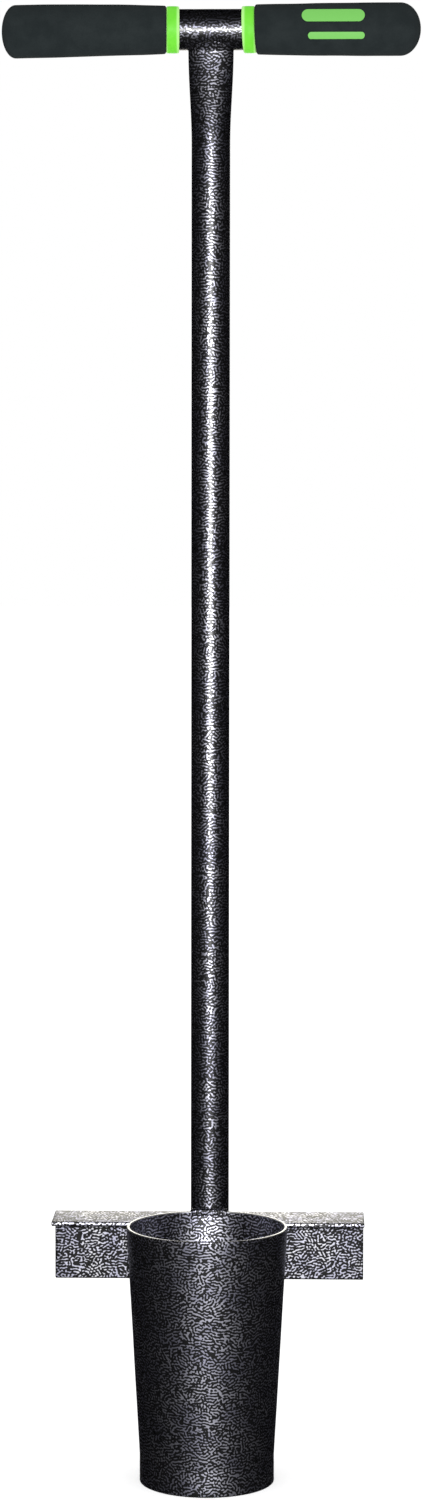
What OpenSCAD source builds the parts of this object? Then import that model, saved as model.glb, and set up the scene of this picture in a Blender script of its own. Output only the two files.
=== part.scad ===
// Long-handled bulb planter: a T handle on a steel tube, a tapered open cup that cuts a plug of
// soil, and an angle-iron step that hugs the back of the cup.
// Frame: the cup's axis is Z and its cutting edge is at z = 0. The handle lies along X, and the
// shaft stands behind the cup, at +Y.

/* [Tool] */
// Height from the cutting edge to the top of the grips
tool_h = 940; // [860:5:1010]

/* [Cup] */
// Height of the cup
cup_h = 163; // [140:1:190]
// Outer radius at the rim
rim_r = 51; // [48:0.5:56]
// Outer radius at the cutting edge
cut_r = 42.7; // [38:0.1:45]
// Height of the straight band above the cutting edge
band_h = 17; // [8:1:30]
// Wall thickness
cup_wall = 2; // [1.5:0.1:3]

/* [Step] */
// Width of the step
step_w = 200; // [160:2:240]
// Depth of the tread, from its front edge to the back of the angle
tread_d = 38; // [32:0.5:42]
// Height of the upright leg, with the tread's thickness
leg_h = 44; // [30:1:55]
// Thickness of the angle iron
angle_t = 3; // [2.5:0.5:4]
// Radius of the fillet inside the angle
angle_fillet = 3; // [2:0.5:5]
// How far the tread is under the cup's rim
tread_drop = 1; // [0.5:0.5:3]

/* [Shaft] */
// Outer radius of the shaft tube
shaft_r = 12.4; // [11:0.1:14]
// Wall of the shaft tube
shaft_wall = 1.6; // [1.2:0.1:2.5]
// How far the tube's open foot is above the bottom of the step's leg
foot_gap = 2; // [0:1:10]
// Half the width of the pressed top, across the handle's length
oval_half_w = 14.6; // [13.5:0.1:15]
// Half the depth of the pressed top
oval_half_d = 6.5; // [6:0.1:10]
// Length of the pressed stretch
flare_h = 60; // [40:5:100]

/* [Handle] */
// Outer radius of the crossbar tube
bar_r = 13; // [12.5:0.1:14]
// Wall of the crossbar tube
bar_wall = 1.6; // [1.2:0.1:2.5]
// Bare steel between the two collars
bare_w = 40.8; // [36:0.2:60]
// Width of a collar
collar_w = 8.4; // [6:0.2:12]
// How far a collar stands off the crossbar
collar_t = 1.8; // [1.2:0.1:2.2]
// Length of a grip
grip_len = 105.5; // [95:0.5:125]
// Radius of a grip at its outer end
grip_r = 17; // [16.5:0.1:19]
// How much a grip narrows to its inner end
grip_taper = 1.3; // [0:0.1:2]
// Depth of the grip's rounded end
dome_d = 9; // [6:0.5:12]
// Foam past the end of the crossbar
foam_end = 8.6; // [6:0.2:12]

/* [Welds] */
// Size of a bead along an edge
bead = 3; // [2:0.5:4]
// How far the fillet under the crossbar reaches out, at the front and the back of the shaft
fillet_reach = 3.5; // [1:0.1:4]
// How far that fillet's toe on the shaft is below the crossbar
fillet_toe = 1.2; // [0.5:0.1:3]

/* [Hidden] */
$fn = 96;

STEEL = "#3c3b40";
FOAM = "#2b3234";
GREEN = "#8bec56";

clear = 1;  // how far a cutting solid runs past what it cuts
bar_z = tool_h - grip_r;
bar_half = bare_w / 2 + collar_w + grip_len - foam_end;
leg_y = rim_r;
step_back_y = leg_y + angle_t;
tread_z = cup_h - tread_drop;
leg_bottom_z = tread_z - leg_h;
shaft_y = step_back_y + shaft_r;
flare_z = bar_z - bar_r - flare_h;

flare_rings = 8;
flare_sides = 40;
flare_lap = 2;  // how far the pressed wall runs down inside the round wall
flare_seat = 0.1;  // how far it stays inside the round wall's two faces
grip_steps = 12;
dome_steps = 8;
grip_edge = 1.2;
collar_edge = 0.8;
side_share = 0.25;  // the handle fillet's size at the shaft's two sides, as a share of its full size

// Radius of the cup's outside at height z
function cup_r(z) =
  z < band_h ? cut_r : cut_r + (rim_r - cut_r) * (z - band_h) / (cup_h - band_h);

// How far the tube is pressed, from 0 where it is round to 1 under the crossbar
function pressed(t) = t * t * (3 - 2 * t);

// A point of the pressed stretch at share t of its height and at an angle, grown by a distance
function oval(t, angle, grow = 0) = [
  (shaft_r + (oval_half_w - shaft_r) * pressed(t) + grow) * cos(angle),
  (shaft_r + (oval_half_d - shaft_r) * pressed(t) + grow) * sin(angle)
];

// Height of the crossbar's underside, at a distance y from its middle plane
function under_bar(y) = bar_z - sqrt(max(0, bar_r * bar_r - y * y));

// One ring of the pressed stretch: its top follows the underside of the crossbar
function flare_ring(t, grow) = [
  for (i = [0 : flare_sides - 1])
    let (angle = 360 * i / flare_sides, p = oval(t, angle, grow), top = oval(1, angle, grow))
      [p[0], p[1], flare_z + t * (under_bar(top[1]) - flare_z)]
];

// The two triangles of each cell between one loop of points and the next
function band(a, b, n) = [
  for (i = [0 : n - 1])
    let (j = (i + 1) % n)
      each [[a + i, b + i, b + j], [a + i, b + j, a + j]]
];

// A tube along X about the crossbar's axis, from a half profile of [radius, distance] points
module about_bar(profile, side) {
  translate([0, shaft_y, bar_z])
    rotate([0, side * 90, 0])
      rotate_extrude()
        polygon(profile);
}

module crossbar() {
  color(STEEL)
    about_bar([
      [bar_r - bar_wall, -bar_half], [bar_r, -bar_half],
      [bar_r, bar_half], [bar_r - bar_wall, bar_half]
    ], 1);
}

// A closed-end foam sleeve: it swells quickly from its inner end and closes in an elliptical dome
module grip(side) {
  start = bare_w / 2 + collar_w;
  dome_start = grip_len - dome_d;
  swell = [
    for (i = [0 : grip_steps])
      let (x = grip_edge + (dome_start - grip_edge) * i / grip_steps)
        [grip_r - grip_taper * pow(1 - x / dome_start, 3), start + x]
  ];
  dome = [
    for (i = [1 : dome_steps])
      let (angle = 90 * i / dome_steps)
        [grip_r * cos(angle), start + dome_start + dome_d * sin(angle)]
  ];
  color(FOAM)
    about_bar(concat(
      [[bar_r, start], [grip_r - grip_taper - grip_edge, start]],
      swell, dome,
      [[0, bar_half], [bar_r, bar_half]]
    ), side);
}

module collar(side) {
  start = bare_w / 2;
  outer = bar_r + collar_t;
  color(GREEN)
    about_bar([
      [bar_r, start], [outer - collar_edge, start], [outer, start + collar_edge],
      [outer, start + collar_w - collar_edge], [outer - collar_edge, start + collar_w],
      [bar_r, start + collar_w]
    ], side);
}

module grip_left() { grip(-1); }
module grip_right() { grip(1); }
module collar_left() { collar(-1); }
module collar_right() { collar(1); }

// The wall of the shaft's pressed top, coped to the underside of the crossbar
module flare_wall() {
  shares = [-flare_lap / flare_h, for (i = [0 : flare_rings]) i / flare_rings];
  outer = [for (t = shares) each flare_ring(t, -flare_seat)];
  inner = [for (t = shares) each flare_ring(t, flare_seat - shaft_wall)];
  n = flare_sides;
  inside = len(outer);
  top = inside - n;
  polyhedron(
    concat(outer, inner),
    concat(
      [for (i = [0 : n : top - n]) each band(i, i + n, n)],
      [for (i = [0 : n : top - n]) each band(inside + i + n, inside + i, n)],
      band(inside, 0, n),
      band(top, inside + top, n)
    )
  );
}

module shaft() {
  foot_z = leg_bottom_z + foot_gap;
  color(STEEL)
    translate([0, shaft_y, 0]) {
      translate([0, 0, foot_z])
        difference() {
          cylinder(h = flare_z - foot_z, r = shaft_r);
          translate([0, 0, -clear])
            cylinder(h = flare_z - foot_z + 2 * clear, r = shaft_r - shaft_wall);
        }
      flare_wall();
    }
}

module cup() {
  color(STEEL)
    rotate_extrude()
      polygon([
        [cut_r - cup_wall, 0], [cut_r, 0], [cut_r, band_h], [rim_r, cup_h],
        [rim_r - cup_wall, cup_h], [cut_r - cup_wall, band_h]
      ]);
}

// The outside of the cup as a solid, to cut what is fitted round it
module cup_outside() {
  rotate_extrude()
    polygon([
      [0, 0], [cut_r, 0], [cut_r, band_h], [rim_r, cup_h], [rim_r, cup_h + clear],
      [0, cup_h + clear]
    ]);
}

// The angle's section as [y, z] points, with the fillet in its inner corner
module angle_section() {
  corner = [leg_y - angle_fillet, tread_z - angle_t - angle_fillet];
  polygon(concat(
    [
      [step_back_y - tread_d, tread_z], [step_back_y, tread_z],
      [step_back_y, leg_bottom_z], [leg_y, leg_bottom_z]
    ],
    [for (angle = [0 : 15 : 90]) corner + angle_fillet * [cos(angle), sin(angle)]],
    [[step_back_y - tread_d, tread_z - angle_t]]
  ));
}

module step_bar() {
  color(STEEL)
    difference() {
      translate([-step_w / 2, 0, 0])
        rotate([90, 0, 90])
          linear_extrude(step_w)
            angle_section();
      cup_outside();
    }
}

// Size of the handle fillet at an angle round the shaft, as a share of its full size
function fillet_share(angle) = side_share + (1 - side_share) * pow(sin(angle), 2);

// The fillet in the joint of the shaft and the crossbar. Its three loops are the joint's corner, the
// fillet's toe on the shaft, and its toe on the crossbar.
module handle_weld() {
  n = flare_sides;
  angles = [for (i = [0 : n - 1]) 360 * i / n];
  corner = [for (a = angles) let (p = oval(1, a)) [p[0], p[1], under_bar(p[1])]];
  low_toe = [
    for (a = angles)
      let (p = oval(1, a)) [p[0], p[1], under_bar(0) - fillet_toe * fillet_share(a)]
  ];
  high_toe = [
    for (a = angles)
      let (p = oval(1, a, fillet_reach * fillet_share(a))) [p[0], p[1], under_bar(p[1])]
  ];
  color(STEEL)
    translate([0, shaft_y, 0])
      polyhedron(
        concat(corner, low_toe, high_toe),
        concat(band(n, 0, n), band(2 * n, n, n), band(0, 2 * n, n))
      );
}

// The bead that joins the foot of the shaft to the rim: a low mound over the rim and the tread,
// and a lip down the inside of the cup
module rim_weld() {
  lip_h = 4;
  lip_t = 1.2;
  mound_h = 1.8;
  half_angle = asin(shaft_r / rim_r);
  inner = rim_r - cup_wall;
  lip_foot = cup_r(cup_h - lip_h) - cup_wall;
  color(STEEL)
    difference() {
      rotate([0, 0, 90 - half_angle])
        rotate_extrude(angle = 2 * half_angle)
          polygon([
            [lip_foot, cup_h - lip_h], [lip_foot - lip_t, cup_h - lip_h * 0.75],
            [inner - lip_t, cup_h], [inner - lip_t / 3, cup_h + mound_h * 0.7],
            [rim_r, cup_h + mound_h], [rim_r + angle_t, cup_h + mound_h],
            [rim_r + angle_t, tread_z], [rim_r, tread_z], [rim_r, cup_h], [inner, cup_h]
          ]);
      translate([0, shaft_y, 0])
        cylinder(h = tool_h, r = shaft_r);
    }
}

// The bead in the groove between the shaft and the back of the step's leg
module shaft_weld(side) {
  start_z = leg_bottom_z + foot_gap + bead / 2;
  inner_x = shaft_r / 4;
  outer_x = sqrt(shaft_r * shaft_r - pow(shaft_r - bead, 2));
  color(STEEL)
    difference() {
      translate([0, step_back_y, start_z])
        linear_extrude(tread_z - bead / 2 - start_z)
          polygon([
            [side * inner_x, 0], [side * (outer_x + bead / 2), 0],
            [side * outer_x, bead], [side * inner_x, bead]
          ]);
      translate([0, shaft_y, 0])
        cylinder(h = tool_h, r = shaft_r);
    }
}

// The fillet bead under the tread, along the edge that hugs the cup
module step_weld() {
  top_z = tread_z - angle_t;
  from = asin((step_back_y - tread_d) / rim_r) + bead;
  to = asin((leg_y - angle_fillet - bead) / (rim_r + bead));
  color(STEEL)
    rotate([0, 0, from])
      rotate_extrude(angle = to - from)
        polygon([
          [cup_r(top_z - bead), top_z - bead], [cup_r(top_z) + bead, top_z],
          [cup_r(top_z), top_z]
        ]);
}

module shaft_weld_left() { shaft_weld(-1); }
module shaft_weld_right() { shaft_weld(1); }
module step_weld_right() { step_weld(); }
module step_weld_left() { mirror([1, 0, 0]) step_weld(); }

crossbar();
grip_left();
grip_right();
collar_left();
collar_right();
shaft();
cup();
step_bar();
handle_weld();
rim_weld();
shaft_weld_left();
shaft_weld_right();
step_weld_left();
step_weld_right();
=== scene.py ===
import math

import bpy
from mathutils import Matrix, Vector, noise


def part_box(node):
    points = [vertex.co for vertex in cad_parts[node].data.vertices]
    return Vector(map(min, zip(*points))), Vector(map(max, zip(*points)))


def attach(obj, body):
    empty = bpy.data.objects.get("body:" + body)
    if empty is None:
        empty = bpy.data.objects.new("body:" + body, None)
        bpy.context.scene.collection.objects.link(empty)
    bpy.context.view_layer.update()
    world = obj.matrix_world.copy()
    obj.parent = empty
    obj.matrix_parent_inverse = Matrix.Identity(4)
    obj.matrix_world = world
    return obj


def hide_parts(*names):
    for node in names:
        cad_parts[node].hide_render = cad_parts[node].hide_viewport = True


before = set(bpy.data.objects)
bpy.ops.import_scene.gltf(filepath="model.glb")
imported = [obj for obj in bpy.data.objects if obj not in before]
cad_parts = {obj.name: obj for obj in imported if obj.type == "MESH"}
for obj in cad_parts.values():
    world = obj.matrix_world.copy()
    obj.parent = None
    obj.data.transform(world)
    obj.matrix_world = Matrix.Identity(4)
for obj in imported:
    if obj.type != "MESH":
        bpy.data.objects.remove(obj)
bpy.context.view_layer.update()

MM = 0.001  # every length below is in metres

# ---------------------------------------------------------------- places and sizes
#
# They come from the boxes of the frame's nodes. Walls, the cutting edge and the shaft's pressed top don't
# show in a box, so those are given here.

cup_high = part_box("cup")[1]
step_low, step_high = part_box("step_bar")
shaft_low, shaft_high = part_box("shaft")
bar_low, bar_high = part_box("crossbar")
grip_low, grip_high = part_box("grip_right")
collar_low, collar_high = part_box("collar_right")
bead_low, bead_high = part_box("shaft_weld_right")

RIM_R = cup_high.x
RIM_Z = cup_high.z
CUT_R = 42.7 * MM  # radius of the cutting edge
BAND_H = 17 * MM  # height of the cup's straight band
CUP_WALL = 2 * MM

TREAD_Z = step_high.z
LEG_BOTTOM = step_low.z
TREAD_FRONT = step_low.y
STEP_BACK = step_high.y
STEP_HALF = step_high.x
ANGLE_T = 3 * MM
LEG_FRONT = STEP_BACK - ANGLE_T

BAR_R = (bar_high.z - bar_low.z) / 2
BAR_Y = (bar_high.y + bar_low.y) / 2
BAR_Z = (bar_high.z + bar_low.z) / 2
BAR_HALF = bar_high.x
TUBE_WALL = 1.6 * MM
COLLAR_X = collar_low.x
COLLAR_END = collar_high.x
COLLAR_R = (collar_high.z - collar_low.z) / 2
GRIP_END = grip_high.x
GRIP_R = (grip_high.z - grip_low.z) / 2

OVAL_HALF_W = shaft_high.x
OVAL_HALF_D = 6.5 * MM  # half the depth of the shaft's pressed top
SHAFT_R = (shaft_high.y - shaft_low.y) / 2
FOOT_Z = shaft_low.z
FLARE_H = 60 * MM  # length of the pressed stretch
FLARE_Z = BAR_Z - BAR_R - FLARE_H

# ---------------------------------------------------------------- camera

CAMERA_PLACE = (58.7 * MM, -2150.6 * MM, 594.7 * MM)
CAMERA_PITCH = math.radians(86.558)
CAMERA_ROLL = math.radians(-0.06)
CAMERA_YAW = math.radians(1.5)
CAMERA_LENS = 82.30

camera = bpy.data.objects.new("camera", bpy.data.cameras.new("camera"))
camera.location = CAMERA_PLACE
camera.rotation_euler = (CAMERA_PITCH, CAMERA_ROLL, CAMERA_YAW)
camera.data.lens = CAMERA_LENS
camera.data.clip_end = 50
bpy.context.scene.collection.objects.link(camera)
bpy.context.scene.camera = camera

# ---------------------------------------------------------------- studio

WHITE = (1, 1, 1, 1)


def add(tree, kind, inputs=(), **settings):
    """A new shader node. An input's value is a number, a colour or another node's output."""
    made = tree.nodes.new(kind)
    for key, value in settings.items():
        setattr(made, key, value)
    for key, value in dict(inputs).items():
        if isinstance(value, bpy.types.NodeSocket):
            tree.links.new(value, made.inputs[key])
        else:
            made.inputs[key].default_value = value
    return made


def softbox(name, place, target, width, height, power, colour=(1, 1, 1)):
    """A rectangular light that only gloss sees: not the camera, and not matt surfaces."""
    light = bpy.data.lights.new(name, "AREA")
    light.shape = "RECTANGLE"
    light.size = width
    light.size_y = height
    light.energy = power
    light.color = colour
    made = bpy.data.objects.new(name, light)
    made.location = place
    toward = Vector(target) - Vector(place)
    made.rotation_euler = toward.to_track_quat("-Z", "Y").to_euler()
    made.visible_camera = False
    made.visible_diffuse = False
    bpy.context.scene.collection.objects.link(made)


def lights():
    """A small key light close to the camera, and a bright backdrop behind the tool."""
    softbox("key", place=(0.08, -2.15, 0.64), target=(0, BAR_Y, 0.6),
            width=0.14, height=0.14, power=60)
    softbox("backdrop", place=(0, 1.6, 0.75), target=(0, 0, 0.3),
            width=0.7, height=1.4, power=6.9, colour=(1, 0.97, 0.88))


def white_floor():
    """A wide white floor that gloss doesn't see."""
    half_size, paper_white, glow = 30, (0.75, 0.75, 0.75, 1), 0.5
    mesh = bpy.data.meshes.new("floor")
    corners = [(x * half_size, y * half_size, 0) for x, y in ((-1, -1), (1, -1), (1, 1), (-1, 1))]
    mesh.from_pydata(corners, [], [(0, 1, 2, 3)])
    floor = bpy.data.objects.new("floor", mesh)
    floor.visible_glossy = False
    bpy.context.scene.collection.objects.link(floor)
    paper = bpy.data.materials.new("floor")
    paper.use_nodes = True
    shader = paper.node_tree.nodes["Principled BSDF"]
    shader.inputs["Base Color"].default_value = paper_white
    shader.inputs["Roughness"].default_value = 1
    shader.inputs["Specular IOR Level"].default_value = 0
    shader.inputs["Emission Color"].default_value = WHITE
    shader.inputs["Emission Strength"].default_value = glow
    mesh.materials.append(paper)


def studio():
    """Even white light from all round, two lights and a white floor. The gloss sees the two lights and not
    the white surroundings or the floor, which keeps the tool's edges dark."""
    scene = bpy.context.scene
    scene.view_settings.view_transform = "Standard"
    world = bpy.data.worlds.new("studio")
    scene.world = world
    world.use_nodes = True
    world.node_tree.nodes["Background"].inputs["Color"].default_value = WHITE
    world.cycles_visibility.glossy = False
    lights()
    white_floor()


studio()

# ---------------------------------------------------------------- materials


def material(name):
    made = bpy.data.materials.new(name)
    made.use_nodes = True
    tree = made.node_tree
    return made, tree, tree.nodes["Principled BSDF"]


def math_node(tree, operation, a, b=0.0):
    return add(tree, "ShaderNodeMath", {0: a, 1: b}, operation=operation).outputs[0]


FACTOR, COLOUR_A, COLOUR_B, COLOUR_OUT = 0, 6, 7, 2  # a mix node's sockets when it blends colours


def blend_colours(tree, share, first, second):
    """The first colour where share is 0 and the second where it is 1."""
    inputs = {FACTOR: share, COLOUR_A: first, COLOUR_B: second}
    return add(tree, "ShaderNodeMix", inputs, data_type="RGBA").outputs[COLOUR_OUT]


def ramp(tree, value, low, high, to_low=0.0, to_high=1.0):
    """A smooth step from to_low to to_high as the value goes from low to high."""
    inputs = {"Value": value, "From Min": low, "From Max": high, "To Min": to_low, "To Max": to_high}
    return add(tree, "ShaderNodeMapRange", inputs, interpolation_type="SMOOTHSTEP").outputs[0]


def noise_of(tree, vector, scale, detail=2.0, distortion=0.0):
    inputs = {"Vector": vector, "Scale": scale, "Detail": detail, "Distortion": distortion}
    return add(tree, "ShaderNodeTexNoise", inputs).outputs["Fac"]


def object_coords(tree):
    return add(tree, "ShaderNodeTexCoord").outputs["Object"]


def set_bump(tree, shader, height, strength, distance):
    inputs = {"Height": height, "Strength": strength, "Distance": distance}
    tree.links.new(add(tree, "ShaderNodeBump", inputs).outputs[0], shader.inputs["Normal"])


def rim_painted_highlight(tree, coords):
    """A painted highlight on the cup's rim, coloured as bright steel: round its top, but less and less at
    the front.
    """
    dark_z, lit_z = RIM_Z - 0.8 * MM, RIM_Z - 0.5 * MM
    dark_y, lit_y = -0.97 * RIM_R, -0.6 * RIM_R
    split = add(tree, "ShaderNodeSeparateXYZ", {"Vector": coords})
    high = ramp(tree, split.outputs["Z"], dark_z, lit_z)
    behind = ramp(tree, split.outputs["Y"], dark_y, lit_y)
    return math_node(tree, "MULTIPLY", high, behind)


def tread_painted_highlight(tree, coords):
    """A painted highlight on the step: a little, on the narrow front face of its tread."""
    brightest_y, dark_y, most = TREAD_FRONT + 0.3 * MM, TREAD_FRONT + 1.2 * MM, 0.22
    depth = add(tree, "ShaderNodeSeparateXYZ", {"Vector": coords}).outputs["Y"]
    return ramp(tree, depth, brightest_y, dark_y, most, 0)


BLACK_PAINT = (0.004, 0.0036, 0.005, 1)
# colour of the painted highlights on the cup's rim and the tread's front
HIGHLIGHT_STEEL = (0.95, 0.95, 0.95, 1)
MIDDLE = 0.5  # the middle of a noise or a wave, which run from 0 to 1
MOTTLE = (0.3, 0.7)  # the stretch of a noise that goes from one shade to the other


def worms(tree, coords, peel, cover):
    """The height of the hammered pattern, about its middle. A Gabor wave is mixed with a sine of its own
    phase, which is as strong everywhere, and the paint's peel breaks them up. cover raises it all."""
    scale, frequency = 200, 2.7
    wave_size, crest_size, break_size = 0.5, 0.09, 0.35
    inputs = {"Vector": coords, "Scale": scale, "Frequency": frequency, "Anisotropy": 0}
    gabor = add(tree, "ShaderNodeTexGabor", inputs, gabor_type="3D")
    wave = math_node(tree, "MULTIPLY", gabor.outputs["Value"], wave_size)
    turn = math_node(tree, "MULTIPLY", gabor.outputs["Phase"], -2 * math.pi)
    crest = math_node(tree, "MULTIPLY", math_node(tree, "SINE", turn), crest_size)
    even = math_node(tree, "ADD", crest, MIDDLE * (1 - wave_size) + cover)
    broken = math_node(tree, "MULTIPLY", math_node(tree, "SUBTRACT", peel, MIDDLE), break_size)
    return math_node(tree, "ADD", math_node(tree, "ADD", wave, even), broken)


def silver_tint(tree, coords, silver):
    """The worms' colour: silver, in clouds of a duller and bluer grey."""
    dull, dull_blue, bright_blue = 0.7 * silver, 1.25, 1.14
    to_bright = (0.35, 0.65)
    cloud = ramp(tree, noise_of(tree, coords, scale=60), *to_bright)
    grey = (dull, dull, dull_blue * dull, 1)
    return blend_colours(tree, cloud, grey, (silver, silver, bright_blue * silver, 1))


def hammered_steel(name, smooth, rough, cover=0.0, silver=0.52, coat=0.0, painted_highlight=None):
    """Hammered paint: silver worms on gloss black. The roughness goes from smooth, on black, to rough. A
    higher cover makes the worms wider. A mask function, where given, says where a highlight is painted as
    bright steel."""
    to_metal, to_silver, to_rough = (0.47, 0.53), (0.53, 0.61), (0.4, 0.6)
    highlight_lift, coat_rough = 0.35, 0.12
    made, tree, shader = material(name)
    coords = object_coords(tree)
    peel = noise_of(tree, coords, scale=420, detail=1.5, distortion=0.5)
    waves = worms(tree, coords, peel, cover)
    tint = silver_tint(tree, coords, silver)
    # painted highlight: the worms lifted and coloured as bright steel where the mask says
    if painted_highlight:
        highlight_share = painted_highlight(tree, coords)
        waves = math_node(tree, "ADD", waves, math_node(tree, "MULTIPLY", highlight_share, highlight_lift))
        tint = blend_colours(tree, highlight_share, tint, HIGHLIGHT_STEEL)
    colour = blend_colours(tree, ramp(tree, waves, *to_silver), BLACK_PAINT, tint)
    tree.links.new(colour, shader.inputs["Base Color"])
    tree.links.new(ramp(tree, waves, *to_metal), shader.inputs["Metallic"])
    tree.links.new(ramp(tree, waves, *to_rough, smooth, rough), shader.inputs["Roughness"])
    shader.inputs["Coat Weight"].default_value = coat
    shader.inputs["Coat Roughness"].default_value = coat_rough
    set_bump(tree, shader, peel, strength=0.35, distance=0.15 * MM)
    return made


def foam():
    """Matt closed-cell foam: fine pores darkened by painted shade, faint mottling and a soft sheen."""
    dark, light = (0.0135, 0.0195, 0.0210, 1), (0.0180, 0.0255, 0.0270, 1)
    # the pores' colour is painted shade in the foam's pits
    pore_shade_colour, pore_scale, pore_size = (0.009, 0.013, 0.0145, 1), 1500, (0.05, 0.4)
    rough, smooth, specular, skin_size = 0.95, 0.82, 0.13, 1.5
    made, tree, shader = material("foam")
    coords = object_coords(tree)
    mottle = noise_of(tree, coords, scale=90, detail=4)
    mottled = blend_colours(tree, ramp(tree, mottle, *MOTTLE), dark, light)
    pores = add(tree, "ShaderNodeTexVoronoi", {"Vector": coords, "Scale": pore_scale}).outputs["Distance"]
    pitted = ramp(tree, pores, *pore_size)
    # painted shade: the colour darkens in the pores, where the bump sinks them
    tree.links.new(blend_colours(tree, pitted, pore_shade_colour, mottled), shader.inputs["Base Color"])
    tree.links.new(ramp(tree, mottle, *MOTTLE, rough, smooth), shader.inputs["Roughness"])
    shader.inputs["Specular IOR Level"].default_value = specular
    skin = math_node(tree, "MULTIPLY", noise_of(tree, coords, scale=420, detail=3), skin_size)
    set_bump(tree, shader, math_node(tree, "ADD", pitted, skin), strength=0.35, distance=0.1 * MM)
    return made


def collar_edge_highlight(tree, coords):
    """How near a point is to either edge of a collar, from 0 in the middle to 1: where a collar's painted
    highlight lies.
    """
    middle, half = (COLLAR_X + COLLAR_END) / 2, (COLLAR_END - COLLAR_X) / 2
    inner, outer = 0.55 * half, 0.95 * half
    across = add(tree, "ShaderNodeSeparateXYZ", {"Vector": coords}).outputs["X"]
    off = math_node(tree, "SUBTRACT", math_node(tree, "ABSOLUTE", across), middle)
    return ramp(tree, math_node(tree, "ABSOLUTE", off), inner, outer)


def green_rubber(name, light, dark, edge_highlight):
    """Moulded green rubber: a satin skin with a faint grain, and a painted highlight that makes it paler
    towards a collar's two edges.
    """
    rough, smooth, specular = 0.62, 0.5, 0.18
    made, tree, shader = material(name)
    coords = object_coords(tree)
    mottle = noise_of(tree, coords, scale=160, detail=3)
    mottled = blend_colours(tree, ramp(tree, mottle, *MOTTLE), dark, light)
    # painted highlight: paler towards the collar's rounded shoulders
    colour = blend_colours(tree, collar_edge_highlight(tree, coords), mottled, edge_highlight)
    tree.links.new(colour, shader.inputs["Base Color"])
    tree.links.new(ramp(tree, mottle, *MOTTLE, rough, smooth), shader.inputs["Roughness"])
    shader.inputs["Specular IOR Level"].default_value = specular
    set_bump(tree, shader, noise_of(tree, coords, scale=1600), strength=0.3, distance=0.06 * MM)
    return made


STEEL = hammered_steel("hammered_steel", smooth=0.36, rough=0.42, cover=-0.015)
# a lit copy of the paint for the cup: brighter silver than the shaft's, painted light, and the painted
# highlight on the rim
RIM_STEEL_PAINTED_LIT = hammered_steel(
    "rim_hammered_steel_painted_lit", smooth=0.36, rough=0.42, cover=0.003, silver=0.64, painted_highlight=rim_painted_highlight)
# a lit copy of the paint for the step: brighter silver and more of it, painted light for its bright leg, and
# the painted highlight on the tread's front
STEP_STEEL_PAINTED_LIT = hammered_steel(
    "step_hammered_steel_painted_lit", smooth=0.39, rough=0.45, cover=-0.015, silver=0.95, painted_highlight=tread_painted_highlight)
# a shaded copy of the paint for the crossbar: darker silver, painted shade that dims its highlight under the
# coat
SMOOTH_STEEL_PAINTED_DARK = hammered_steel("smooth_hammered_steel_painted_dark", smooth=0.36, rough=0.42, silver=0.29, coat=0.14)
FOAM = foam()
GREEN = green_rubber(
    "green_rubber", light=(0.19, 0.80, 0.045, 1), dark=(0.165, 0.75, 0.035, 1), edge_highlight=(0.48, 0.95, 0.28, 1))
PRINT = green_rubber(
    "green_print", light=(0.20, 0.60, 0.12, 1), dark=(0.16, 0.52, 0.10, 1), edge_highlight=(0.20, 0.60, 0.12, 1))

# ---------------------------------------------------------------- mesh tools

SMOOTH_ANGLE = math.radians(50)


def faces_between(starts, wrap):
    """The faces between rings, each of which is given as (first vertex, count)."""
    pairs = list(zip(starts, starts[1:]))
    if wrap:
        pairs.append((starts[-1], starts[0]))
    faces = []
    for (a, count_a), (b, count_b) in pairs:
        for i in range(max(count_a, count_b)):
            j = (i + 1) % max(count_a, count_b)
            if count_a == 1:
                faces.append((a, b + j, b + i))
            elif count_b == 1:
                faces.append((a + i, a + j, b))
            else:
                faces.append((a + i, a + j, b + j, b + i))
    if not wrap:
        for (start, count), turn in ((starts[0], -1), (starts[-1], 1)):
            if count > 1:
                faces.append(tuple(range(start, start + count))[::turn])
    return faces


def piece(name, rings, stuff, nodes=(), wrap=False):
    """A closed mesh through rings of points. All rings have as many points as each other, or just one. The
    last ring joins the first when wrap is true, and otherwise both are capped."""
    verts, starts = [], []
    for ring in rings:
        starts.append((len(verts), len(ring)))
        verts.extend(tuple(p) for p in ring)
    mesh = bpy.data.meshes.new(name)
    mesh.from_pydata(verts, [], faces_between(starts, wrap))
    mesh.validate()
    if volume(mesh) < 0:
        mesh.flip_normals()
    mesh.shade_smooth()
    mesh.set_sharp_from_angle(angle=SMOOTH_ANGLE)
    mesh.materials.append(stuff)
    made = bpy.data.objects.new(name, mesh)
    bpy.context.scene.collection.objects.link(made)
    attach(made, "root")
    if nodes:
        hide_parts(*nodes)
    return made


def volume(mesh):
    """Six times the signed volume inside a closed mesh: negative when its faces point inward."""
    mesh.calc_loop_triangles()
    points = [v.co for v in mesh.vertices]
    total = 0.0
    for triangle in mesh.loop_triangles:
        a, b, c = (points[i] for i in triangle.vertices)
        total += a.dot(b.cross(c))
    return total


def rounded(corners, steps=5):
    """A closed outline from (a, b, radius) corners, with an arc of steps + 1 points at each."""
    most = 0.49  # of either side, so that two arcs never meet
    points = []
    for i, (a, b, radius) in enumerate(corners):
        here = Vector((a, b))
        back = Vector(corners[i - 1][:2]) - here
        ahead = Vector(corners[(i + 1) % len(corners)][:2]) - here
        half = back.angle(ahead) / 2
        cut = min(radius / math.tan(half), most * back.length, most * ahead.length)
        start, end = here + back.normalized() * cut, here + ahead.normalized() * cut
        centre = here + (back.normalized() + ahead.normalized()).normalized() * (cut / math.cos(half))
        for k in range(steps + 1):
            share = k / steps
            chord = start.lerp(end, share) - centre
            points.append(centre + chord.normalized() * (start - centre).length)
    return points


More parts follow.
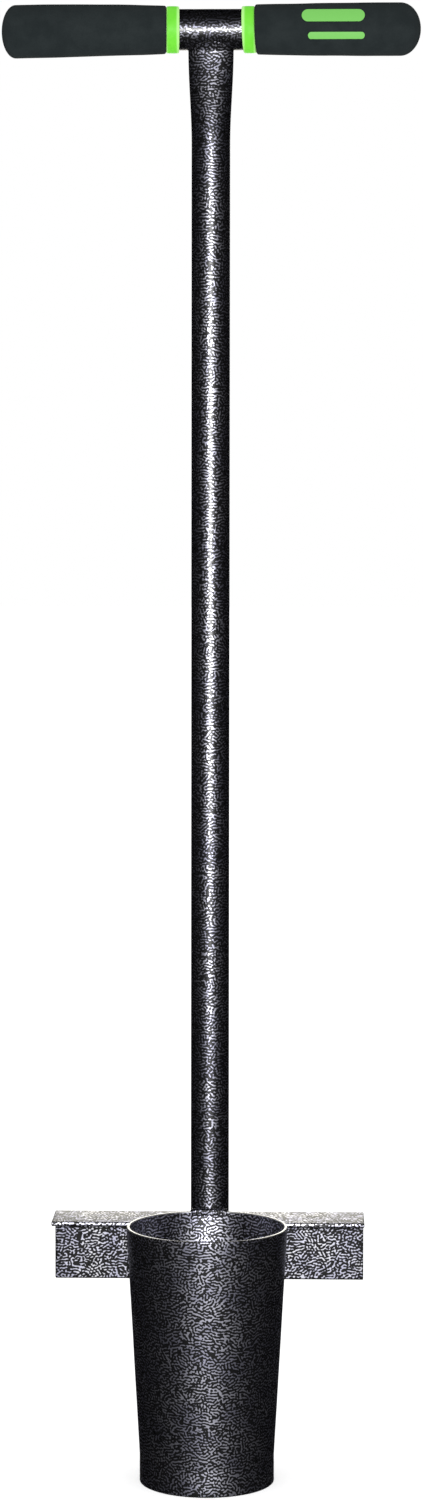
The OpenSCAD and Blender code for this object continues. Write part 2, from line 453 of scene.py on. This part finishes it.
def refine(points, longest):
    """The closed outline with points added so that no stretch is longer than asked."""
    finer = []
    for a, b in zip(points, points[1:] + points[:1]):
        parts = max(1, math.ceil((b - a).length / longest))
        finer.extend(a.lerp(b, k / parts) for k in range(parts))
    return finer


def waver(point, size, reach, seed):
    """A smooth value between about -size and size that varies over the distance reach."""
    return size * noise.noise(Vector(point) / reach + Vector((seed, seed * 0.7, seed * 1.3)))


def about_z(profile, sides, seed, unevenness):
    """Rings about the cup's axis, one for each (radius, height) point of a profile."""
    wave_length = 40 * MM
    rings = []
    for radius, height in profile:
        ring = []
        for i in range(sides):
            angle = 2 * math.pi * i / sides
            out = Vector((math.cos(angle), math.sin(angle), 0))
            place = out * radius + Vector((0, 0, height))
            ring.append(place + out * waver(place, unevenness, wave_length, seed))
        rings.append(ring)
    return rings


def about_bar(profile, sides, side, shape=None):
    """Rings about the crossbar's axis, one for each (radius, distance) point. shape(point, out), where it is
    given, moves each point."""
    rings = []
    for radius, distance in profile:
        count = 1 if radius == 0 else sides
        ring = []
        for i in range(count):
            angle = 2 * math.pi * i / sides
            out = Vector((0, math.cos(angle), math.sin(angle)))
            place = Vector((side * distance, BAR_Y, BAR_Z)) + out * radius
            ring.append(shape(place, out) if shape else place)
        rings.append(ring)
    return rings


# ---------------------------------------------------------------- steel pieces


def cup_radius(z):
    """Radius of the cup's outside at a height."""
    return CUT_R if z < BAND_H else CUT_R + (RIM_R - CUT_R) * (z - BAND_H) / (RIM_Z - BAND_H)


def cup_shell():
    """The tapered cup: rounded at its rim and cutting edge, with a soft bend above its straight band."""
    edge, bend = 0.6 * MM, 30 * MM
    sides, seed, unevenness = 192, 3, 0.12 * MM
    outline = rounded([
        (CUT_R, 0, edge), (CUT_R, BAND_H, bend), (RIM_R, RIM_Z, edge),
        (RIM_R - CUP_WALL, RIM_Z, edge), (CUT_R - CUP_WALL, BAND_H, bend), (CUT_R - CUP_WALL, 0, edge)
    ])
    rings = about_z(refine(outline, 4 * MM), sides, seed, unevenness)
    piece("cup_shell", rings, RIM_STEEL_PAINTED_LIT, ["cup"], wrap=True)


def pressed(share):
    """How far the tube is pressed, from 0 where it is round to 1 under the crossbar."""
    return share * share * (3 - 2 * share)


def under_bar(y):
    """Height of the crossbar's underside at a distance from its middle plane."""
    return BAR_Z - math.sqrt(max(0, BAR_R * BAR_R - y * y))


def shaft_point(angle, share, inset):
    """A point on the shaft's pressed top, from share 0, where it is round, to 1, under the crossbar."""
    width = SHAFT_R + (OVAL_HALF_W - SHAFT_R) * pressed(share) - inset
    depth = SHAFT_R + (OVAL_HALF_D - SHAFT_R) * pressed(share) - inset
    top = under_bar((OVAL_HALF_D - inset) * math.sin(angle))
    height = FLARE_Z + share * (top - FLARE_Z)
    return Vector((width * math.cos(angle), BAR_Y + depth * math.sin(angle), height))


def shaft_tube():
    """The shaft: a round tube with a chamfered foot, pressed to an oval and coped at the top."""
    sides, flare_steps, plain_steps = 96, 24, 40
    edge = 0.5 * MM
    angles = [2 * math.pi * i / sides for i in range(sides)]
    plain_low = FOOT_Z + edge

    def ring(inset, height=None, share=0.0):
        points = [shaft_point(a, share, inset) for a in angles]
        if height is not None:
            for p in points:
                p.z = height
        return points

    plain = [plain_low + (FLARE_Z - plain_low) * i / plain_steps for i in range(plain_steps)]
    shares = [i / flare_steps for i in range(flare_steps + 1)]
    rings = [ring(edge, FOOT_Z)]
    rings += [ring(0, z) for z in plain]
    rings += [ring(0, share=t) for t in shares]
    rings += [ring(TUBE_WALL, share=t) for t in reversed(shares)]
    rings += [ring(TUBE_WALL, z) for z in reversed(plain)]
    rings += [ring(TUBE_WALL - edge, FOOT_Z)]
    piece("shaft_tube", rings, STEEL, ["shaft"], wrap=True)


def crossbar_tube():
    edge, sides = 0.4 * MM, 96
    outline = rounded([
        (BAR_R - TUBE_WALL, -BAR_HALF, edge), (BAR_R, -BAR_HALF, edge),
        (BAR_R, BAR_HALF, edge), (BAR_R - TUBE_WALL, BAR_HALF, edge)
    ], steps=3)
    rings = about_bar(refine(outline, 6 * MM), sides, side=1)
    piece("crossbar_tube", rings, SMOOTH_STEEL_PAINTED_DARK, ["crossbar"], wrap=True)


def angle_section(front, inset):
    """The angle iron's outline as (y, z) points, where its tread starts at front."""
    edge, corner = 1.1 * MM, 0.9 * MM
    full_fillet, least_fillet = 3 * MM, 0.1 * MM
    fillet = max(least_fillet, min(full_fillet, LEG_FRONT - front - edge))
    under = TREAD_Z - ANGLE_T
    return rounded([
        (front + inset, TREAD_Z - inset, edge), (STEP_BACK - inset, TREAD_Z - inset, corner),
        (STEP_BACK - inset, LEG_BOTTOM + inset, corner), (LEG_FRONT + inset, LEG_BOTTOM + inset, edge),
        (LEG_FRONT + inset, under + inset, fillet), (front + inset, under + inset, edge)
    ], steps=4)


def step_angle():
    """The step: angle iron whose tread is notched round the back of the cup."""
    end_round, gap = 0.6 * MM, 0.3 * MM
    notch_steps, plain_steps = 48, 10
    end_angles = [math.radians(degrees) for degrees in (0, 30, 60)]
    notch_r = RIM_R + gap
    notch_half = math.sqrt(notch_r ** 2 - TREAD_FRONT ** 2)
    quarter = math.pi / 2
    notch = [notch_half * math.sin(quarter * i / notch_steps) for i in range(-notch_steps, notch_steps + 1)]
    plain_w = STEP_HALF - end_round - notch_half
    plain = [notch_half + plain_w * i / plain_steps for i in range(1, plain_steps + 1)]
    places = [-x for x in reversed(plain)] + notch + plain
    ends = [(end_round * (1 - math.cos(a)), end_round * (1 - math.sin(a))) for a in end_angles]

    def section(x, inset=0.0):
        inside = notch_r ** 2 - x * x
        front = max(TREAD_FRONT, math.sqrt(inside)) if inside > 0 else TREAD_FRONT
        return [Vector((x, p[0], p[1])) for p in angle_section(front, inset)]

    rings = [section(-STEP_HALF + near, inset) for near, inset in ends]
    rings += [section(x) for x in places]
    rings += [section(STEP_HALF - near, inset) for near, inset in reversed(ends)]
    piece("step_angle", rings, STEP_STEEL_PAINTED_LIT, ["step_bar"])


# ---------------------------------------------------------------- weld beads

RIPPLE_LENGTH = 1.7 * MM


def ripple(along, depth):
    """The scalloped swell of a bead, at a distance along it, as a factor on its size."""
    phase = along / RIPPLE_LENGTH
    return 1 - depth * abs(math.sin(math.pi * phase)) ** 3


def bead(name, path, across, up, size, node):
    """A weld bead along a path. across and up give each ring's plane, and size(share) gives its radius."""
    sides, ripple_depth = 20, 0.16
    lump, lump_length, seed = 0.12, 3 * MM, len(name)
    rings, along, count = [], 0.0, len(path)
    for i, place in enumerate(path):
        along += (place - path[i - 1]).length if i else 0.0
        radius = size(i / (count - 1)) * ripple(along, ripple_depth)
        ring = []
        for k in range(sides):
            angle = 2 * math.pi * k / sides
            out = across[i] * math.cos(angle) + up[i] * math.sin(angle)
            uneven = 1 + waver(place + out * radius, lump, lump_length, seed)
            ring.append(place + out * radius * uneven)
        rings.append(ring)
    piece(name, rings, STEEL, [node])


def rounded_ends(full, share_of_end=0.12):
    """A size that is full along a bead and falls away round both ends."""
    least = 0.02  # the square of the smallest size, so that a bead never ends in a point

    def size(share):
        near = min(share, 1 - share) / share_of_end
        return full * math.sqrt(max(least, 1 - max(0.0, 1 - near) ** 2))

    return size


def handle_bead():
    """The fillet in the joint of shaft and crossbar: small at the shaft's sides, wide at its front and
    back, with a slightly hollow, rippled face."""
    steps, across = 300, 8
    reach, toe, side_share = 3.5 * MM, 1.2 * MM, 0.25
    hollow, sunk = 0.12, 0.5 * MM
    length, ripple_depth = 76 * MM, 0.1
    lump, lump_length, seed = 0.15, 5 * MM, 31
    rings = []
    for i in range(steps):
        angle = 2 * math.pi * i / steps
        corner = shaft_point(angle, 1, 0)
        out = Vector((math.cos(angle), math.sin(angle), 0))
        size = side_share + (1 - side_share) * math.sin(angle) ** 2
        size *= ripple(i / steps * length, ripple_depth) * (1 + waver(corner, lump, lump_length, seed))
        low = Vector((corner.x, corner.y, under_bar(0) - toe * size))
        high = corner + out * reach * size
        high.z = under_bar(high.y - BAR_Y)
        buried = corner - out * sunk + Vector((0, 0, sunk))
        ring = [buried, low - out * sunk]
        for k in range(across + 1):
            share = k / across
            bend = 4 * share * (1 - share) * hollow
            ring.append(low.lerp(high, share).lerp(corner, bend))
        ring.append(high + Vector((0, 0, sunk)))
        rings.append(ring)
    piece("handle_bead", rings, STEEL, ["handle_weld"], wrap=True)


def rim_bead():
    """The bead in front of the shaft, over the cup's rim and a little way down its inside."""
    half = math.asin(SHAFT_R / RIM_R)
    steps, edge, embed = 60, 0.7 * MM, 0.8 * MM
    lip_h, lip_t, mound = 4 * MM, 1.2 * MM, 1.7 * MM
    ripple_depth, end_share = 0.14, 0.08
    inner = RIM_R - CUP_WALL
    lip_foot = cup_radius(RIM_Z - lip_h) - CUP_WALL
    centre = Vector((inner + embed, RIM_Z - lip_h / 3))
    outline = rounded([
        (lip_foot + embed, RIM_Z - lip_h, edge), (inner - lip_t, RIM_Z - lip_h * 0.6, edge),
        (inner - lip_t * 0.9, RIM_Z + mound * 0.5, edge), (RIM_R - embed, RIM_Z + mound, edge),
        (STEP_BACK - edge, RIM_Z + mound * 0.8, edge), (STEP_BACK - edge, TREAD_Z - embed, edge),
        (inner + embed, TREAD_Z - embed, edge)
    ], steps=4)
    outline = refine(outline, 1 * MM)
    rings, size = [], rounded_ends(1.0, end_share)
    for i in range(steps + 1):
        share = i / steps
        angle = math.pi / 2 + half * (1 - 2 * share)
        out = Vector((math.cos(angle), math.sin(angle), 0))
        swell = size(share) * ripple(share * 2 * half * RIM_R, ripple_depth)
        ring = []
        for p in outline:
            r, z = centre + (p - centre) * swell
            ring.append(out * r + Vector((0, 0, z)))
        rings.append(ring)
    piece("rim_bead", rings, STEEL, ["rim_weld"])


def straight_beads():
    """The two upright beads between the shaft and the back of the step's leg."""
    steps, full, behind_leg = 60, 1.9 * MM, 1.1 * MM
    bottom, top = bead_low.z + full / 2, bead_high.z - full / 2
    heights = [bottom + (top - bottom) * i / steps for i in range(steps + 1)]
    for side, word in ((-1, "left"), (1, "right")):
        x = side * (bead_low.x + bead_high.x) / 2
        path = [Vector((x, STEP_BACK + behind_leg, z)) for z in heights]
        across, up = [Vector((1, 0, 0))] * len(path), [Vector((0, 1, 0))] * len(path)
        bead("shaft_bead_" + word, path, across, up, rounded_ends(full), "shaft_weld_" + word)


def step_beads():
    """The two fillet beads under the tread, along its notch. They stop short of its front and of the leg."""
    steps, full = 60, 2.0 * MM
    off_cup, off_tread, off_leg, off_rim = 0.5 * MM, 0.4 * MM, 6 * MM, 3 * MM
    off_front = math.radians(3)
    under = TREAD_Z - ANGLE_T
    radius = cup_radius(under) + off_cup
    start = math.asin(TREAD_FRONT / RIM_R) + off_front
    end = math.asin((LEG_FRONT - off_leg) / (RIM_R + off_rim))
    for side, word in ((-1, "left"), (1, "right")):
        path, across = [], []
        for i in range(steps + 1):
            angle = start + (end - start) * i / steps
            out = Vector((side * math.cos(angle), math.sin(angle), 0))
            path.append(out * radius + Vector((0, 0, under - off_tread)))
            across.append(out)
        up = [Vector((0, 0, 1))] * len(path)
        bead("step_bead_" + word, path, across, up, rounded_ends(full), "step_weld_" + word)


# ---------------------------------------------------------------- handle


def lean(place, side, tilt):
    """Moves a point so that the inner end of a soft part leans: its front towards the middle of the handle,
    and its top towards the left by the tilt."""
    reach, bow = 14 * MM, 0.8 * MM
    fade = max(0.0, 1 - max(0.0, side * place.x - COLLAR_END) / reach)
    front = (BAR_Y - place.y) / GRIP_R
    high = (place.z - BAR_Z) / GRIP_R
    place.x -= fade * (side * bow * front + tilt * high)
    return place


def grip_profile(taper, dome, radius, start, length):
    """(radius, distance) points of a grip: its bore, its rounded inner edge, its swell and its end dome."""
    edge, edge_steps, steps, dome_steps = 1.4 * MM, 6, 40, 16
    bore, bore_end = BAR_R - 0.1 * MM, BAR_HALF + 0.2 * MM
    dome_x = length - dome
    narrow = radius - taper
    profile = [(0, bore_end), (bore, bore_end), (bore, start)]
    for k in range(edge_steps + 1):
        a = math.radians(90 * k / edge_steps)
        profile.append((narrow - edge + edge * math.sin(a), start + edge - edge * math.cos(a)))
    for k in range(1, steps + 1):
        x = edge + (dome_x - edge) * k / steps
        profile.append((radius - taper * (1 - x / dome_x) ** 2, start + x))
    for k in range(1, dome_steps):
        a = math.radians(90 * k / dome_steps)
        profile.append((radius * math.cos(a), start + dome_x + dome * math.sin(a)))
    profile.append((0, start + length))
    return profile


def grip_foam(side, word, seed, tilt, taper, dome, droop):
    """A foam sleeve: it swells from its inner end and closes in a dome. Its surface is gently uneven, and
    its outer end droops a little."""
    sides, unevenness, wave_length = 128, 0.2 * MM, 22 * MM
    spare = 0.2 * MM  # room for the unevenness inside the part's own size
    start = COLLAR_END - 0.1 * MM
    length = GRIP_END - spare - start

    def shape(place, out):
        share = (side * place.x - start) / length
        place = place + out * waver(place, unevenness, wave_length, seed)
        place.z -= droop * share * share
        return lean(place, side, tilt)

    profile = grip_profile(taper, dome, GRIP_R - spare, start, length)
    rings = about_bar(profile, sides, side, shape)
    made = piece("grip_foam_" + word, rings, FOAM, ["grip_" + word])


def collar_ring(side, word, seed, tilt):
    """A soft rubber ring with rounded shoulders and a slight crown. Gloss doesn't see it, so it leaves no
    green streaks in the black paint."""
    sides, unevenness, wave_length = 128, 0.12 * MM, 12 * MM
    shoulder, gap = 1.0 * MM, 0.15 * MM
    crown, crown_r = 0.15 * MM, 20 * MM
    bore, bore_edge = BAR_R - 0.1 * MM, 0.2 * MM
    middle = (COLLAR_X + COLLAR_END) / 2
    top = COLLAR_R - crown
    outline = rounded([
        (bore, COLLAR_X, bore_edge), (top, COLLAR_X, shoulder), (COLLAR_R, middle, crown_r),
        (top, COLLAR_END - gap, shoulder), (bore, COLLAR_END - gap, bore_edge)
    ])

    def shape(place, out):
        return lean(place + out * waver(place, unevenness, wave_length, seed), side, tilt)

    rings = about_bar(refine(outline, 1 * MM), sides, side, shape)
    made = piece("collar_ring_" + word, rings, GREEN, ["collar_" + word], wrap=True)
    made.visible_glossy = False


def printed_bar(name, x_low, x_high, z_low, z_high):
    """A thin raised bar with round ends, wrapped on the front of the right grip."""
    lift, edge_lift, sunk = 0.12 * MM, 0.036 * MM, 0.5 * MM
    spread, rim_share, round_share = 24, 0.985, 0.98
    half_x, half_z = (x_high - x_low) / 2, (z_high - z_low) / 2
    x_middle, z_middle = (x_low + x_high) / 2, (z_low + z_high) / 2
    corner = min(half_x, half_z) * round_share
    outline = refine(rounded([
        (-half_x, -half_z, corner), (half_x, -half_z, corner),
        (half_x, half_z, corner), (-half_x, half_z, corner)
    ], steps=8), 1.2 * MM)

    def on_grip(p, height):
        z = z_middle + p[1]
        radius = GRIP_R + height
        return Vector((x_middle + p[0], BAR_Y - math.sqrt(radius ** 2 - z * z), BAR_Z + z))

    shares = [k / spread for k in range(1, spread)] + [rim_share]
    rings = [[on_grip((0, 0), lift)]]
    rings += [[on_grip(p * s, lift) for p in outline] for s in shares]
    rings += [[on_grip(p, edge_lift) for p in outline], [on_grip(p, -sunk) for p in outline]]
    rings += [[on_grip(p * s, -sunk) for p in outline] for s in reversed(shares)]
    rings += [[on_grip((0, 0), -sunk)]]
    piece(name, rings, PRINT)


# ---------------------------------------------------------------- the tool

cup_shell()
shaft_tube()
crossbar_tube()
step_angle()
handle_bead()
rim_bead()
straight_beads()
step_beads()
grip_foam(-1, "left", seed=11, tilt=0, taper=1.6 * MM, dome=9 * MM, droop=1.2 * MM)
grip_foam(1, "right", seed=17, tilt=0.6 * MM, taper=1.0 * MM, dome=13 * MM, droop=0)
collar_ring(-1, "left", seed=23, tilt=0)
collar_ring(1, "right", seed=29, tilt=0.6 * MM)
printed_bar("print_upper", x_low=58 * MM, x_high=98 * MM, z_low=2.6 * MM, z_high=10.8 * MM)
printed_bar("print_lower", x_low=62 * MM, x_high=98 * MM, z_low=-8.2 * MM, z_high=-4 * MM)
